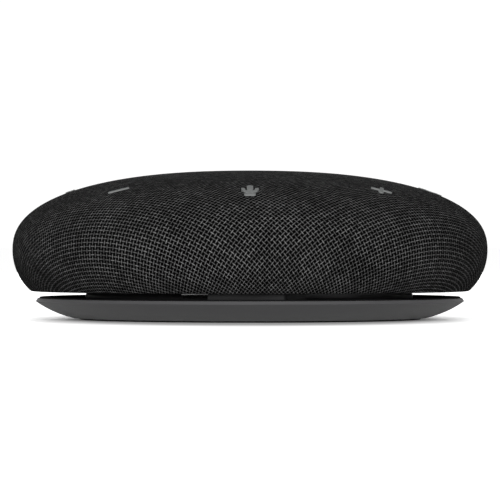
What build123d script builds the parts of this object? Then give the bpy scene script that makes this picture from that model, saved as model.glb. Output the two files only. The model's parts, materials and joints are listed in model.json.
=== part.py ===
from build123d import *
from math import atan2, cos, degrees, pi, radians, sin, sqrt, tan
import os

# Conference speakerphone: a round, fabric-covered dome that stands on a flared rubber dish.
# A USB-C cable is wound round a drum in the groove between dome and dish.
# Millimetres. +Z is up, the origin is on the table under the dome's axis, and the front is -Y.

os.makedirs("parts", exist_ok=True)

# Dome and body
BODY_R = 62.5            # widest radius, over the fabric
EQUATOR_Z = 18.2         # height of the widest point
DOME_H = 20.9            # rise from the widest point to the top
DOME_POWER = 2.36        # superellipse exponent of the dome's section
FLANK_R = 14.35          # section radius under the widest point
RIM_Z = 7.4              # lower edge of the body
FABRIC_T = 0.8
SHELL_OUT = FABRIC_T + 0.05   # the shells lie a glue line under the fabric
SHELL_T = 2.0
SHELL_IN = FABRIC_T + SHELL_T
SEAM_Z = 12.0            # joint between the upper and lower shells
HEM_R = 56.4             # inner edge of the tucked-under fabric

# Cable groove between the body and the dish
GROOVE_FLOOR_Z = 4.6
GROOVE_ROOF_Z = 10.8
GROOVE_WALL_R = 55.7
ROOF_TOP_Z = 12.4
ROOF_HOLE_R = 29.7
SPIGOT_R = 57.0          # step that centres the upper shell on the lower one

# Dish that the body stands on
DISH_R = 56.4
DISH_TIP_Z = 4.77
DISH_BEVEL_R = 55.9
DISH_BEVEL_Z = 5.55
DISH_ARC_R = 27.4
DISH_FLAT_Z = 0.4
DISH_FLAT_R = 46.6
LINER_T = 0.5
LIP_Z = 5.95
LIP_FOOT_R, LIP_IN_R, LIP_OUT_R = 54.0, 54.95, 55.3
LIP_SEAT_R, LIP_SEAT_Z = 54.9, 5.4
LIP_EDGE_R = 55.5

# Foot, weight and label
FOOT_IN_R, FOOT_OUT_R, FOOT_TOP_Z = 38.0, 45.0, 1.2
WEIGHT_R, WEIGHT_BOTTOM_Z, WEIGHT_TOP_Z = 29.8, 1.6, 4.4
LABEL_R, LABEL_TOP_Z = 22.0, 0.8
LABEL_T, LABEL_GAP = 0.3, 0.2

# Cable drum
DRUM_R = 37.3
DRUM_T = 1.5
DRUM_FLANGE_R = 30.0
DRUM_FLANGE_T = 1.5

# Cable
CABLE_D = 3.0
COIL_OUT_R = DRUM_R + 2 * CABLE_D
PLUG_AZIMUTH = -94.5     # direction of the stowed plug's middle, from +X
PLUG_LINE_R = 48.6       # distance of the plug's centre line from the axis
PLUG_Z = 7.6
PLUG_BODY_L, PLUG_BODY_W, PLUG_BODY_T = 19.5, 9.5, 5.8
PLUG_SHELL_L, PLUG_SHELL_W, PLUG_SHELL_T = 6.65, 8.25, 2.4
PLUG_BOOT_L = 5.0
GROMMET_AZIMUTH = -124.0
GROMMET_W = 5.4

# Keys: name, glyph, direction from +X
KEY_R = 47.4
KEY_PROUD = 0.25
KEY_GAP = 0.25
KEY_CAP_R = 4.6
KEY_CAP_TOP, KEY_CAP_BOTTOM = -1.5, -3.0
KEY_STEM_R, KEY_STEM_END = 1.5, -6.4
STROKE = 0.95

# Marks on the keys, about the key's middle
MINUS_L, PLUS_L = 5.5, 5.6
CAPSULE_L, CAPSULE_W, CAPSULE_Y = 3.6, 1.65, 1.35
CRADLE_R, CRADLE_Y, CRADLE_ARM = 1.75, 0.1, 0.4
STAND_TOP_Y, STAND_FOOT_Y, STAND_FOOT_L = -1.5, -3.45, 2.95
EARPIECE_L, EARPIECE_W, EARPIECE_CORNER = 1.9, 1.5, 0.5
EARPIECE_X, EARPIECE_Y, EARPIECE_TURN = 0.35, 2.25, 40
KEYS = [
    ("key_answer", "handset_up", 180),
    ("key_volume_down", "minus", -135),
    ("key_mute", "microphone", -90),
    ("key_volume_up", "plus", -45),
    ("key_end_call", "handset_down", 0),
]

# Key carrier and key board, as depths under the fabric's outer face
CARRIER_TOP, CARRIER_BOTTOM = -4.0, -5.4
BOARD_TOP, BOARD_BOTTOM = -9.0, -9.8
SWITCH_W, SWITCH_H, SWITCH_BUTTON_H = 4.2, 1.5, 0.55

# Microphones, each in a rubber boot against the shell
MIC_AZIMUTHS = [45, 135, 225, 315]
MIC_Z = 21.0
MIC_BOOT_START, MIC_BOOT_R, MIC_BOOT_L = 55.4, 3.4, 4.1    # distance from the axis, radius, length
MIC_R, MIC_T, MIC_CLEARANCE, MIC_PORT_R = 2.0, 1.4, 0.05, 0.6

# Loudspeaker
FLANGE_Z = 31.0
FLANGE_T = 1.2
FLANGE_R = 27.0
SURROUND_OUT_R, SURROUND_IN_R = 25.0, 21.4
CONE_THROAT_R, CONE_THROAT_Z = 6.15, 24.4
MOTOR_R = 15.0
YOKE_Z, YOKE_T = 14.4, 1.2
MAGNET_T, TOP_PLATE_T = 4.0, 1.2
POLE_R, GAP_R = 5.5, 6.9
SPIDER_Z, SPIDER_IN_R, SPIDER_OUT_R = 22.8, 6.5, 14.0
SPIDER_WAVES, SPIDER_RISE, SPIDER_T = 3, 0.5, 0.35
MAGNET_IN_R = 8.4
FORMER_IN_R, WINDING_OUT_R = 5.95, 6.45  # the voice coil's former and winding
FORMER_LOW_Z, WINDING_LOW_Z, WINDING_HIGH_Z = 17.8, 18.2, 22.2
BOX_R, BOX_T, BOX_FLOOR_Z = 29.4, 1.5, 12.6

# Main board
PCB_R, PCB_Z, PCB_T = 33.0, GROOVE_FLOOR_Z + DRUM_FLANGE_T, 1.6

# Screws
BODY_SCREW_R, DISH_SCREW_R, PCB_SCREW_R, BOX_SCREW_R = 32.9, 33.4, 31.6, 33.0
SCREW_HOLE_R = 1.4       # clearance for a body or dish screw
BOX_PILOT_R, BOX_HOLE_R = 0.9, 1.2

FLANK_CENTRE_R = BODY_R - FLANK_R
CRADLE_ARC = CenterArc((0, CRADLE_Y), CRADLE_R, 180, 180)
HANDSET_ARC = CenterArc((3.3, 0), 4.1, 140, 80)
DOME_STEPS = 20


def flank_radius(inset, z):
    """Radius, at height z, of the layer that lies inset under the outer face below the equator."""
    return FLANK_CENTRE_R + sqrt((FLANK_R - inset) ** 2 - (EQUATOR_Z - z) ** 2)


def dome_points(inset):
    """Superellipse from the equator to the axis, for the layer that lies inset under the outer face."""
    reach, rise, power = BODY_R - inset, DOME_H - inset, 2 / DOME_POWER
    angles = [radians(90 * step / DOME_STEPS) for step in range(DOME_STEPS)]
    curve = [(reach * cos(a) ** power, EQUATOR_Z + rise * sin(a) ** power) for a in angles]
    return curve + [(0, EQUATOR_Z + rise)]


def dome_height(inset, radius):
    """Height of the layer at a radius."""
    share = 1 - (radius / (BODY_R - inset)) ** DOME_POWER
    return EQUATOR_Z + (DOME_H - inset) * share ** (1 / DOME_POWER)


def body_line(inset, low_z):
    """Draw the layer's section from the axis down to low_z, in the line being built."""
    Spline(dome_points(inset), tangents=[(0, 1), (-1, 0)])
    middle_z = (EQUATOR_Z + low_z) / 2
    ThreePointArc(
        (BODY_R - inset, EQUATOR_Z),
        (flank_radius(inset, middle_z), middle_z),
        (flank_radius(inset, low_z), low_z),
    )


def dome_solid(inset):
    """Everything above the table and under the layer, as wide as its equator."""
    with BuildPart() as dome:
        with BuildSketch(Plane.XZ):
            with BuildLine():
                Spline(dome_points(inset), tangents=[(0, 1), (-1, 0)])
                Polyline(
                    (0, EQUATOR_Z + DOME_H - inset),
                    (0, 0),
                    (BODY_R - inset, 0),
                    (BODY_R - inset, EQUATOR_Z),
                )
            make_face()
        revolve(axis=Axis.Z)
    return dome.part


def key_plane(azimuth, depth=0.0):
    """Plane on the dome at a key: its normal is the dome's, and its Y is +Y laid onto the dome."""
    step = 0.01
    drop = dome_height(0, KEY_R - step) - dome_height(0, KEY_R + step)
    slope = atan2(drop, 2 * step)
    a = radians(azimuth)
    normal = Vector(sin(slope) * cos(a), sin(slope) * sin(a), cos(slope))
    place = Vector(KEY_R * cos(a), KEY_R * sin(a), dome_height(0, KEY_R)) + normal * depth
    across = Vector(0, 1, 0).cross(normal)
    return Plane(origin=place, x_dir=across, z_dir=normal)


def mic_plane(azimuth, distance):
    """Plane across a microphone's axis, at a distance from the object's axis."""
    out = Vector(cos(radians(azimuth)), sin(radians(azimuth)), 0)
    return Plane(origin=out * distance + Vector(0, 0, MIC_Z), z_dir=out)


def draw_glyph(glyph, grow):
    """Draw one key's mark in the sketch being built, with its strokes widened by grow on each side."""
    width = STROKE + 2 * grow
    if glyph in ("minus", "plus"):
        SlotOverall(MINUS_L + 2 * grow, width)
    if glyph == "plus":
        SlotOverall(PLUS_L + 2 * grow, width, rotation=90)
    if glyph == "microphone":
        with Locations((0, CAPSULE_Y)):
            SlotOverall(CAPSULE_L + 2 * grow, CAPSULE_W + 2 * grow, rotation=90)
        SlotArc(CRADLE_ARC, height=width)
        for side in (-1, 1):
            with Locations((CRADLE_R * side, CRADLE_Y + CRADLE_ARM / 2)):
                SlotOverall(CRADLE_ARM + width, width, rotation=90)
        with Locations((0, (STAND_TOP_Y + STAND_FOOT_Y) / 2)):
            Rectangle(width, STAND_TOP_Y - STAND_FOOT_Y)
        with Locations((0, STAND_FOOT_Y)):
            SlotOverall(STAND_FOOT_L + 2 * grow, width)
    if glyph in ("handset_up", "handset_down"):
        turn = 0 if glyph == "handset_up" else -90
        with Locations(Location((0, 0, 0), turn)):
            SlotArc(HANDSET_ARC, height=width)
            for side in (-1, 1):
                earpiece = Location((EARPIECE_X, EARPIECE_Y * side, 0), EARPIECE_TURN * side)
                with Locations(earpiece):
                    RectangleRounded(EARPIECE_L + 2 * grow, EARPIECE_W + 2 * grow, EARPIECE_CORNER)


def ring_section(inner_r, outer_r, low_z, high_z):
    """Draw a rectangular ring section in the sketch being built."""
    with Locations(((inner_r + outer_r) / 2, (low_z + high_z) / 2)):
        Rectangle(outer_r - inner_r, high_z - low_z)


def finish(part, label):
    part.label = label
    export_step(part, f"parts/{label}.step")


dome_under_shell = dome_solid(SHELL_IN)
dome_solid_in_shell = dome_solid(SHELL_IN - 0.5)
dome_over_fabric = dome_solid(-KEY_PROUD)

# ---------------------------------------------------------------- outer covers

# Knitted cover: over the whole dome and tucked under the rim, cut out round the keys' marks.
with BuildPart() as fabric_cover:
    with BuildSketch(Plane.XZ):
        with BuildLine():
            body_line(0, RIM_Z)
            Polyline(
                (flank_radius(0, RIM_Z), RIM_Z),
                (HEM_R, RIM_Z),
                (HEM_R, RIM_Z + FABRIC_T),
                (flank_radius(FABRIC_T, RIM_Z + FABRIC_T), RIM_Z + FABRIC_T),
            )
            body_line(FABRIC_T, RIM_Z + FABRIC_T)
            Line((0, EQUATOR_Z + DOME_H - FABRIC_T), (0, EQUATOR_Z + DOME_H))
        make_face()
    revolve(axis=Axis.Z)
    for name, glyph, azimuth in KEYS:
        with BuildSketch(key_plane(azimuth)):
            draw_glyph(glyph, KEY_GAP)
        extrude(amount=2.5, both=True, mode=Mode.SUBTRACT)
finish(fabric_cover.part, "fabric_cover")

# Six long posts under the upper shell, which take the body's screws.
POST_R, POST_BORE_R, POST_BORE_TOP = 2.4, 1.0, 22.0
with BuildPart() as shell_posts:
    with BuildSketch(Plane.XY.offset(ROOF_TOP_Z)):
        with PolarLocations(BODY_SCREW_R, 6, start_angle=30):
            Circle(POST_R)
    extrude(amount=DOME_H + EQUATOR_Z)
    add(dome_solid_in_shell, mode=Mode.INTERSECT)
    with BuildSketch(Plane.XY.offset(ROOF_TOP_Z)):
        with PolarLocations(BODY_SCREW_R, 6, start_angle=30):
            Circle(POST_BORE_R)
    extrude(amount=POST_BORE_TOP - ROOF_TOP_Z, mode=Mode.SUBTRACT)

# Upper shell: slotted over the loudspeaker, holed for the keys and the microphones.
SLOT_RINGS = [5.5, 9.7, 13.9, 18.1, 22.3]
SLOTS_PER_RING = 8
SLOT_W = 1.8
SLOT_GAP = 2.6           # web between two slots of a ring
slot_arcs = []
for ring in SLOT_RINGS:
    web_angle = degrees((SLOT_GAP + SLOT_W) / ring)
    slot_angle = 360 / SLOTS_PER_RING - web_angle
    for k in range(SLOTS_PER_RING):
        slot_arcs.append(CenterArc((0, 0), ring, 360 * k / SLOTS_PER_RING + web_angle / 2, slot_angle))
with BuildPart() as upper_shell:
    with BuildSketch(Plane.XZ):
        with BuildLine():
            body_line(SHELL_OUT, SEAM_Z)
            Line((flank_radius(SHELL_OUT, SEAM_Z), SEAM_Z), (flank_radius(SHELL_IN, SEAM_Z), SEAM_Z))
            body_line(SHELL_IN, SEAM_Z)
            Line((0, EQUATOR_Z + DOME_H - SHELL_IN), (0, EQUATOR_Z + DOME_H - SHELL_OUT))
        make_face()
    revolve(axis=Axis.Z)
    add(shell_posts.part)
    with BuildSketch(Plane.XY.offset(EQUATOR_Z)):
        for arc in slot_arcs:
            SlotArc(arc, height=SLOT_W)
    extrude(amount=DOME_H, mode=Mode.SUBTRACT)
    for name, glyph, azimuth in KEYS:
        with BuildSketch(key_plane(azimuth)):
            Circle(KEY_CAP_R + 0.4)
        extrude(amount=3.6, both=True, mode=Mode.SUBTRACT)
    for azimuth in MIC_AZIMUTHS:
        with BuildSketch(mic_plane(azimuth, MIC_BOOT_START)):
            Circle(MIC_PORT_R)
        extrude(amount=BODY_R, mode=Mode.SUBTRACT)
finish(upper_shell.part, "upper_shell")

# Lower shell: the rim, the groove's outer wall and roof.
with BuildPart() as lower_shell:
    with BuildSketch(Plane.XZ):
        with BuildLine():
            low_z = RIM_Z + SHELL_OUT
            middle_z = (low_z + SEAM_Z) / 2
            ThreePointArc(
                (flank_radius(SHELL_OUT, SEAM_Z), SEAM_Z),
                (flank_radius(SHELL_OUT, middle_z), middle_z),
                (flank_radius(SHELL_OUT, low_z), low_z),
            )
            Polyline(
                (flank_radius(SHELL_OUT, low_z), low_z),
                (HEM_R, low_z),
                (HEM_R, low_z + 1.0),
                (GROOVE_WALL_R, low_z + 1.0),
                (GROOVE_WALL_R, GROOVE_ROOF_Z),
                (ROOF_HOLE_R, GROOVE_ROOF_Z),
                (ROOF_HOLE_R, ROOF_TOP_Z),
                (SPIGOT_R, ROOF_TOP_Z),
                (SPIGOT_R, SEAM_Z),
                (flank_radius(SHELL_OUT, SEAM_Z), SEAM_Z),
            )
        make_face()
    revolve(axis=Axis.Z)
    with BuildSketch(Plane.XY.offset(GROOVE_ROOF_Z)):
        with PolarLocations(BODY_SCREW_R, 6, start_angle=30):
            Circle(SCREW_HOLE_R)
        with PolarLocations(BOX_SCREW_R, 3):
            Circle(BOX_PILOT_R)
    extrude(amount=ROOF_TOP_Z - GROOVE_ROOF_Z, mode=Mode.SUBTRACT)
finish(lower_shell.part, "lower_shell")

# Hem ring: holds the cover's edge in the lower shell.
with BuildPart() as hem_ring:
    with BuildSketch(Plane.XZ):
        ring_section(GROOVE_WALL_R, HEM_R, RIM_Z, RIM_Z + FABRIC_T + 1.0)
    revolve(axis=Axis.Z)
finish(hem_ring.part, "hem_ring")

# ---------------------------------------------------------------- dish and drum

DISH_TOP_Z = GROOVE_FLOOR_Z - LINER_T
HEAD_HOLE_R, HEAD_HOLE_TOP = 2.5, 2.2    # counterbores for the dish's screws


def dish_outline():
    """Draw the dish's section in the line being built."""
    RadiusArc((DISH_R, DISH_TIP_Z), (DISH_FLAT_R, DISH_FLAT_Z), DISH_ARC_R)
    Polyline(
        (DISH_FLAT_R, DISH_FLAT_Z),
        (FOOT_OUT_R, DISH_FLAT_Z),
        (FOOT_OUT_R, FOOT_TOP_Z),
        (FOOT_IN_R, FOOT_TOP_Z),
        (FOOT_IN_R, DISH_FLAT_Z),
        (LABEL_R, DISH_FLAT_Z),
        (LABEL_R, LABEL_TOP_Z),
        (0, LABEL_TOP_Z),
        (0, WEIGHT_BOTTOM_Z),
        (WEIGHT_R, WEIGHT_BOTTOM_Z),
        (WEIGHT_R, DISH_TOP_Z),
        (LIP_FOOT_R, DISH_TOP_Z),
        (LIP_SEAT_R, LIP_SEAT_Z),
        (LIP_EDGE_R, DISH_BEVEL_Z),
        (DISH_BEVEL_R, DISH_BEVEL_Z),
        (DISH_R, DISH_TIP_Z),
    )


# Flared dish of soft-touch rubber over a stiff core.
with BuildPart() as dish:
    with BuildSketch(Plane.XZ):
        with BuildLine():
            dish_outline()
        make_face()
    revolve(axis=Axis.Z)
    with BuildSketch(Plane.XY):
        with PolarLocations(DISH_SCREW_R, 4, start_angle=45):
            Circle(SCREW_HOLE_R)
    extrude(amount=DISH_TOP_Z, mode=Mode.SUBTRACT)
    with BuildSketch(Plane.XY):
        with PolarLocations(DISH_SCREW_R, 4, start_angle=45):
            Circle(HEAD_HOLE_R)
    extrude(amount=HEAD_HOLE_TOP, mode=Mode.SUBTRACT)
finish(dish.part, "dish")

# Black liner: the dish's upper face, with a raised lip.
with BuildPart() as dish_liner:
    with BuildSketch(Plane.XZ):
        with BuildLine():
            Polyline(
                (DRUM_FLANGE_R, DISH_TOP_Z),
                (LIP_FOOT_R, DISH_TOP_Z),
                (LIP_SEAT_R, LIP_SEAT_Z),
                (LIP_EDGE_R, DISH_BEVEL_Z),
                (LIP_OUT_R, LIP_Z),
                (LIP_IN_R, LIP_Z),
                (LIP_FOOT_R, GROOVE_FLOOR_Z),
                (DRUM_FLANGE_R, GROOVE_FLOOR_Z),
                close=True,
            )
        make_face()
    revolve(axis=Axis.Z)
    with BuildSketch(Plane.XY.offset(DISH_TOP_Z)):
        with PolarLocations(DISH_SCREW_R, 4, start_angle=45):
            Circle(SCREW_HOLE_R)
    extrude(amount=LINER_T, mode=Mode.SUBTRACT)
finish(dish_liner.part, "dish_liner")

with BuildPart() as foot_ring:
    with BuildSketch(Plane.XZ):
        ring_section(FOOT_IN_R, FOOT_OUT_R, 0, FOOT_TOP_Z)
    revolve(axis=Axis.Z)
    fillet(foot_ring.faces().sort_by(Axis.Z)[0].edges(), radius=0.25)
finish(foot_ring.part, "foot_ring")

with BuildPart() as steel_weight:
    with BuildSketch(Plane.XY.offset(WEIGHT_BOTTOM_Z)):
        Circle(WEIGHT_R)
    extrude(amount=WEIGHT_TOP_Z - WEIGHT_BOTTOM_Z)
    chamfer(steel_weight.faces().sort_by(Axis.Z)[-1].edges(), length=0.4)
finish(steel_weight.part, "steel_weight")

with BuildPart() as rating_plate:
    with BuildSketch(Plane.XY.offset(LABEL_TOP_Z - LABEL_T)):
        Circle(LABEL_R - LABEL_GAP)
    extrude(amount=LABEL_T)
finish(rating_plate.part, "rating_plate")

# Cable drum: spacer between dish and body that the cable is wound on.
DRUM_IN_R = DRUM_R - DRUM_T
WINDOW_LOW_Z, WINDOW_HIGH_Z = PCB_Z + 0.05, 8.4
with BuildPart() as cable_drum:
    with BuildSketch(Plane.XZ):
        ring_section(DRUM_IN_R, DRUM_R, GROOVE_FLOOR_Z, GROOVE_ROOF_Z)
        ring_section(DRUM_FLANGE_R, DRUM_IN_R, GROOVE_FLOOR_Z, GROOVE_FLOOR_Z + DRUM_FLANGE_T)
        ring_section(DRUM_FLANGE_R, DRUM_IN_R, GROOVE_ROOF_Z - DRUM_FLANGE_T, GROOVE_ROOF_Z)
    revolve(axis=Axis.Z)
    with BuildSketch(Plane.XY.offset(GROOVE_ROOF_Z - DRUM_FLANGE_T)):
        with PolarLocations(BODY_SCREW_R, 6, start_angle=30):
            Circle(SCREW_HOLE_R)
    extrude(amount=DRUM_FLANGE_T, mode=Mode.SUBTRACT)
    with BuildSketch(Plane.XY.offset(GROOVE_FLOOR_Z)):
        with PolarLocations(DISH_SCREW_R, 4, start_angle=45):
            Circle(1.0)
        with PolarLocations(PCB_SCREW_R, 3, start_angle=60):
            Circle(0.75)
    extrude(amount=DRUM_FLANGE_T, mode=Mode.SUBTRACT)
    window = Plane.XY.offset(WINDOW_LOW_Z).rotated((0, 0, GROMMET_AZIMUTH))
    with BuildSketch(window):
        with Locations((DRUM_R, 0)):
            Rectangle(2 * DRUM_T + 1, GROMMET_W)
    extrude(amount=WINDOW_HIGH_Z - WINDOW_LOW_Z, mode=Mode.SUBTRACT)
finish(cable_drum.part, "cable_drum")

# ---------------------------------------------------------------- cable and plug

# Grommet: fills the drum's window and turns the cable into the groove.
grommet_foot = Plane.XY.offset(GROOVE_FLOOR_Z + 0.1).rotated((0, 0, GROMMET_AZIMUTH))
with BuildPart() as cable_grommet:
    with BuildSketch(window):
        with Locations((DRUM_R - DRUM_T / 2 - 0.1, 0)):
            Rectangle(DRUM_T + 0.2, GROMMET_W)
    extrude(amount=WINDOW_HIGH_Z - WINDOW_LOW_Z)
    with BuildSketch(grommet_foot):
        with Locations((DRUM_R + 1.5, 0)):
            Rectangle(3.0, GROMMET_W)
    extrude(amount=CABLE_D - 0.2)
    with BuildSketch(window.offset(-0.05)):
        with Locations((DRUM_IN_R - 0.7, 0)):
            Rectangle(1.0, GROMMET_W + 1.6)
    extrude(amount=WINDOW_HIGH_Z - WINDOW_LOW_Z + 0.4)
finish(cable_grommet.part, "cable_grommet")

# The wound cable, as the ring that its turns fill.
with BuildPart() as cable_coil:
    with BuildSketch(Plane.XZ):
        ring_section(DRUM_R + 0.05, COIL_OUT_R, GROOVE_FLOOR_Z + 0.02, GROOVE_FLOOR_Z + 2 * CABLE_D)
    revolve(axis=Axis.Z)
    fillet(cable_coil.edges().filter_by(GeomType.CIRCLE), radius=0.9)
    with BuildSketch(grommet_foot.offset(-0.2)):
        with Locations((DRUM_R + 1.4, 0)):
            Rectangle(3.4, GROMMET_W + 0.1)
    extrude(amount=CABLE_D + 0.4, mode=Mode.SUBTRACT)
finish(cable_coil.part, "cable_coil")

# Plug frame: local Y runs from the cable to the plug's tip, local X points outward.
plug_middle = Plane.XY.offset(PLUG_Z).rotated((0, 0, PLUG_AZIMUTH))
PLUG_HALF = (PLUG_BODY_L + PLUG_SHELL_L) / 2


def plug_plane(along):
    """Section plane of the plug, along millimetres from its middle towards its tip."""
    place = plug_middle.from_local_coords(Vector(PLUG_LINE_R, -along, 0))
    tip = plug_middle.from_local_coords(Vector(0, -1, 0)) - plug_middle.origin
    return Plane(origin=place, x_dir=plug_middle.x_dir, z_dir=tip)


def tail_point(radius, turn, z):
    """Point of the cable's tail, turn degrees back from the plug's middle."""
    a = radians(PLUG_AZIMUTH + turn)
    return Vector(radius * cos(a), radius * sin(a), z)


BOOT_END = -PLUG_HALF - PLUG_BOOT_L
TAIL_LEAD = 6.3          # straight stretch behind the boot
COIL_LINE_R = COIL_OUT_R - CABLE_D / 2
tail_route = [
    tail_point(COIL_LINE_R, 92, GROOVE_FLOOR_Z + CABLE_D / 2),
    tail_point(COIL_LINE_R + 0.4, 76, GROOVE_FLOOR_Z + CABLE_D / 2),
    tail_point(44.6, 61, 6.4),
    tail_point(49.6, 46.5, 7.0),
    tail_point(53.3, 34, 7.5),
    plug_plane(BOOT_END - TAIL_LEAD).origin,
    plug_plane(BOOT_END).origin,
]
tail_runs = [b - a for a, b in zip(tail_route, tail_route[1:])]
tail_turns = [radians(a.get_angle(b)) for a, b in zip(tail_runs, tail_runs[1:])]
tail_radii = [
    0.45 * min(before.length, after.length) / tan(turn / 2)
    for before, after, turn in zip(tail_runs, tail_runs[1:], tail_turns)
]
print("cable tail: runs", [round(run.length, 1) for run in tail_runs])
print("cable tail: turns", [round(degrees(turn), 1) for turn in tail_turns])
print("cable tail: radii", [round(radius, 1) for radius in tail_radii])

with BuildPart() as cable_tail:
    with BuildLine() as tail_line:
        FilletPolyline(*tail_route, radius=tail_radii)
    tail_path = tail_line.wires()[0]
    with BuildSketch(Plane(origin=tail_path @ 0, z_dir=tail_path % 0)):
        Circle(CABLE_D / 2)
    sweep(path=tail_path)
tail_section = pi * CABLE_D**2 / 4
print("cable tail: volume", round(cable_tail.part.volume, 1))
print("cable tail: section times length", round(tail_section * tail_path.length, 1))
finish(cable_tail.part, "cable_tail")

# Tapered strain relief behind the plug.
with BuildPart() as plug_boot:
    with BuildSketch(plug_plane(BOOT_END)):
        Circle(CABLE_D / 2 + 0.2)
    with BuildSketch(plug_plane(-PLUG_HALF)):
        Circle(CABLE_D / 2 + 0.9)
    loft()
finish(plug_boot.part, "plug_boot")

# Plug's moulded grip.
with BuildPart() as plug_grip:
    with BuildSketch(plug_plane(-PLUG_HALF)):
        RectangleRounded(PLUG_BODY_W, PLUG_BODY_T, 1.8)
    extrude(amount=PLUG_BODY_L)
    fillet(plug_grip.edges().group_by(lambda e: e.center().dot(plug_plane(0).z_dir))[0], radius=0.8)
finish(plug_grip.part, "plug_grip")

# Plug's steel shell with its open mouth, and the contact insert inside it.
SHELL_WALL = 0.25
with BuildPart() as plug_shell:
    with BuildSketch(plug_plane(PLUG_BODY_L - PLUG_HALF)):
        RectangleRounded(PLUG_SHELL_W, PLUG_SHELL_T, PLUG_SHELL_T / 2 - 0.01)
    extrude(amount=PLUG_SHELL_L)
    with BuildSketch(plug_plane(PLUG_BODY_L - PLUG_HALF)):
        RectangleRounded(
            PLUG_SHELL_W - 2 * SHELL_WALL,
            PLUG_SHELL_T - 2 * SHELL_WALL,
            PLUG_SHELL_T / 2 - SHELL_WALL - 0.01,
        )
    extrude(amount=PLUG_SHELL_L, mode=Mode.SUBTRACT)
finish(plug_shell.part, "plug_shell")

with BuildPart() as plug_insert:
    with BuildSketch(plug_plane(PLUG_BODY_L - PLUG_HALF)):
        RectangleRounded(
            PLUG_SHELL_W - 2 * SHELL_WALL,
            PLUG_SHELL_T - 2 * SHELL_WALL,
            PLUG_SHELL_T / 2 - SHELL_WALL - 0.01,
        )
    extrude(amount=PLUG_SHELL_L - 0.6)
    with BuildSketch(plug_plane(PLUG_BODY_L - PLUG_HALF + 0.8)):
        Rectangle(6.7, 0.8)
    extrude(amount=PLUG_SHELL_L, mode=Mode.SUBTRACT)
finish(plug_insert.part, "plug_insert")

# ---------------------------------------------------------------- keys

for name, glyph, azimuth in KEYS:
    with BuildPart() as key:
        with BuildSketch(key_plane(azimuth, KEY_CAP_TOP - 0.3)):
            draw_glyph(glyph, 0)
        extrude(amount=4)
        add(dome_over_fabric, mode=Mode.INTERSECT)
        with BuildSketch(key_plane(azimuth, KEY_CAP_BOTTOM)):
            Circle(KEY_CAP_R)
        extrude(amount=KEY_CAP_TOP - KEY_CAP_BOTTOM)
        with BuildSketch(key_plane(azimuth, KEY_STEM_END)):
            Circle(KEY_STEM_R)
        extrude(amount=KEY_CAP_BOTTOM - KEY_STEM_END)
    finish(key.part, name)


def sloped_section(top, bottom, inner, outer):
    """Draw a section parallel to the dome at the keys, between two depths, in the XZ sketch."""
    plane = key_plane(0)
    along = Vector(-plane.z_dir.Z, 0, plane.z_dir.X)
    corners = [
        plane.origin + plane.z_dir * depth + along * reach
        for depth, reach in ((top, inner), (top, outer), (bottom, outer), (bottom, inner))
    ]
    Polyline(*[(corner.X, corner.Z) for corner in corners], close=True)


# Key carrier: a sloped ring with a guide bore for each key, on legs under the shell.
CARRIER_IN, CARRIER_OUT = 5.6, -5.4
LEG_W = 1.2
with BuildPart() as key_carrier:
    with BuildSketch(Plane.XZ):
        with BuildLine():
            sloped_section(CARRIER_TOP, CARRIER_BOTTOM, CARRIER_IN, CARRIER_OUT)
        make_face()
        with BuildLine():
            sloped_section(0.5, BOARD_TOP, CARRIER_IN, CARRIER_IN - LEG_W)
        make_face()
        with BuildLine():
            sloped_section(0.5, BOARD_TOP, CARRIER_OUT + LEG_W, CARRIER_OUT)
        make_face()
    revolve(axis=Axis.Z)
    add(dome_under_shell, mode=Mode.INTERSECT)
    for name, glyph, azimuth in KEYS:
        with BuildSketch(key_plane(azimuth, BOARD_TOP - 1)):
            Circle(KEY_STEM_R + 0.25)
        extrude(amount=8, mode=Mode.SUBTRACT)
        with BuildSketch(key_plane(azimuth, CARRIER_TOP)):
            Circle(KEY_CAP_R + 0.4)
        extrude(amount=4, mode=Mode.SUBTRACT)
finish(key_carrier.part, "key_carrier")

with BuildPart() as key_board:
    with BuildSketch(Plane.XZ):
        with BuildLine():
            sloped_section(BOARD_TOP, BOARD_BOTTOM, CARRIER_IN, CARRIER_OUT)
        make_face()
    revolve(axis=Axis.Z)
finish(key_board.part, "key_board")

with BuildPart() as key_switches:
    for name, glyph, azimuth in KEYS:
        with BuildSketch(key_plane(azimuth, BOARD_TOP)):
            Rectangle(SWITCH_W, SWITCH_W)
        extrude(amount=SWITCH_H)
        with BuildSketch(key_plane(azimuth, BOARD_TOP + SWITCH_H)):
            Circle(1.1)
        extrude(amount=SWITCH_BUTTON_H)
finish(key_switches.part, "key_switches")

# Status lights on the key board, beside the mute key.
LIGHT_AZIMUTHS = [-120, -112, -68, -60]
with BuildPart() as status_lights:
    for azimuth in LIGHT_AZIMUTHS:
        with BuildSketch(key_plane(azimuth, BOARD_TOP)):
            Rectangle(1.6, 0.8)
        extrude(amount=0.6)
finish(status_lights.part, "status_lights")

# ---------------------------------------------------------------- microphones

with BuildPart() as microphone_boots:
    for azimuth in MIC_AZIMUTHS:
        boot_start = mic_plane(azimuth, MIC_BOOT_START)
        with BuildSketch(boot_start):
            Circle(MIC_BOOT_R)
        extrude(amount=MIC_BOOT_L)
        with BuildSketch(boot_start):
            Circle(MIC_R + MIC_CLEARANCE)
        extrude(amount=MIC_T + 4 * MIC_CLEARANCE, mode=Mode.SUBTRACT)
        with BuildSketch(boot_start):
            Circle(MIC_PORT_R)
        extrude(amount=MIC_BOOT_L, mode=Mode.SUBTRACT)
    add(dome_under_shell, mode=Mode.INTERSECT)
finish(microphone_boots.part, "microphone_boots")

with BuildPart() as microphones:
    for azimuth in MIC_AZIMUTHS:
        with BuildSketch(mic_plane(azimuth, MIC_BOOT_START + 4 * MIC_CLEARANCE)):
            Circle(MIC_R)
        extrude(amount=MIC_T)
finish(microphones.part, "microphones")

# ---------------------------------------------------------------- loudspeaker

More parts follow.
